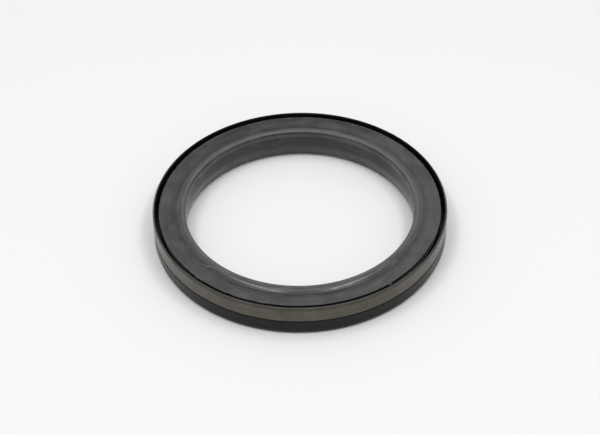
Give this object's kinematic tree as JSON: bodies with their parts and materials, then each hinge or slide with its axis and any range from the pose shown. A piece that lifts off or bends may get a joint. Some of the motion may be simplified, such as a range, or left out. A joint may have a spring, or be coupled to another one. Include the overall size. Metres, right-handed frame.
{
  "type": "radial shaft seal",
  "caption": "Unitised radial shaft seal: steel case with a rubber nose, and a rubber-lined steel inner ring that turns in it.",
  "frame": {"origin": "centre of the nose face, on the seal's axis, which is also the centre of the bottom of the bounding box", "axes": "+Z along the seal's axis, from the nose (oil side) towards the rim (air side); X and Y are any two radii at a right angle"},
  "size_m": [0.14, 0.14, 0.016],
  "materials": {
    "case_steel": "ground olive-grey band, dark phosphated elsewhere",
    "lip_rubber": "moulded, near black, satin",
    "spring_steel": "bright wire",
    "sleeve_steel": "fine ground",
    "lining_rubber": "moulded, dark grey, slightly cloudy"
  },
  "bodies": {
    "outer_ring": {"outer_case": "case_steel", "lip_element": "lip_rubber", "garter_spring": "spring_steel"},
    "inner_ring": {"wear_sleeve": "sleeve_steel", "sleeve_lining": "lining_rubber"}
  },
  "joints": [
    {"name": "inner_ring_spin", "type": "hinge", "parent": "outer_ring", "child": "inner_ring", "pos_m": [0, 0, 0.008], "axis": [0, 0, 1], "continuous": true}
  ]
}
